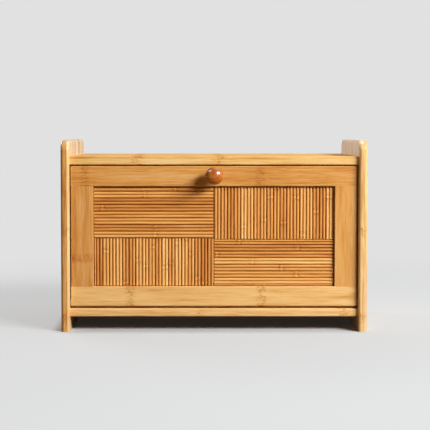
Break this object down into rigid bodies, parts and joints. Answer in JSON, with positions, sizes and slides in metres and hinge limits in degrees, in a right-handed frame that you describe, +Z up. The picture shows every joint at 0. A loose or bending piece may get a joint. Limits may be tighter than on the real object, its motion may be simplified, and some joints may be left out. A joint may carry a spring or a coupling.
{
  "type": "bread box with drop-down front",
  "caption": "Bamboo bread box: raised side panels, shelf top, and a framed door of reeded slats that drops forwards on bottom pins and closes on magnets.",
  "frame": {"origin": "on the worktop, in the middle of the space that the closed box takes up, knob included", "axes": "+X to the right seen from the front, +Y from the door to the back, +Z up"},
  "size_m": [0.4, 0.217, 0.251],
  "materials": {
    "board_bamboo": "satin lacquer over pale gold bamboo",
    "frame_bamboo": "satin lacquer over golden bamboo",
    "reed_bamboo": "satin, grooved slats that differ from straw to brown",
    "ply_bamboo": "matte bamboo ply",
    "knob_wood": "gloss lacquer over reddish brown wood",
    "beech": "matte",
    "steel": "zinc plated",
    "brass": "plain",
    "nylon": "matte"
  },
  "bodies": {
    "carcass": {"side_panel_left": "board_bamboo", "side_panel_right": "board_bamboo", "bottom_board": "board_bamboo", "top_board": "board_bamboo", "back_panel": "ply_bamboo", "carcass_screw_left_bottom_front": "steel", "carcass_screw_left_bottom_back": "steel", "carcass_screw_left_top_front": "steel", "carcass_screw_left_top_back": "steel", "carcass_screw_right_bottom_front": "steel", "carcass_screw_right_bottom_back": "steel", "carcass_screw_right_top_front": "steel", "carcass_screw_right_top_back": "steel", "dowel_left_bottom": "beech", "dowel_left_top": "beech", "dowel_right_bottom": "beech", "dowel_right_top": "beech", "hinge_pin_left": "steel", "hinge_pin_right": "steel", "catch_block_left": "board_bamboo", "catch_block_right": "board_bamboo", "catch_magnet_left": "steel", "catch_magnet_right": "steel", "catch_screw_left": "steel", "catch_screw_right": "steel"},
    "door": {"bottom_rail": "frame_bamboo", "top_rail": "frame_bamboo", "stile_left": "frame_bamboo", "stile_right": "frame_bamboo", "reed_backing": "ply_bamboo", "reeds_upper_left": "reed_bamboo", "reeds_upper_right": "reed_bamboo", "reeds_lower_left": "reed_bamboo", "reeds_lower_right": "reed_bamboo", "knob": "knob_wood", "knob_insert": "brass", "knob_screw": "steel", "knob_washer": "steel", "hinge_bush_left": "nylon", "hinge_bush_right": "nylon", "strike_plate_left": "steel", "strike_plate_right": "steel", "strike_screw_left": "steel", "strike_screw_right": "steel"}
  },
  "joints": [
    {"name": "door_hinge", "type": "hinge", "parent": "carcass", "child": "door", "pos_m": [0, -0.07848, 0.0383], "axis": [1, 0, 0], "range_deg": [0, 90]}
  ]
}
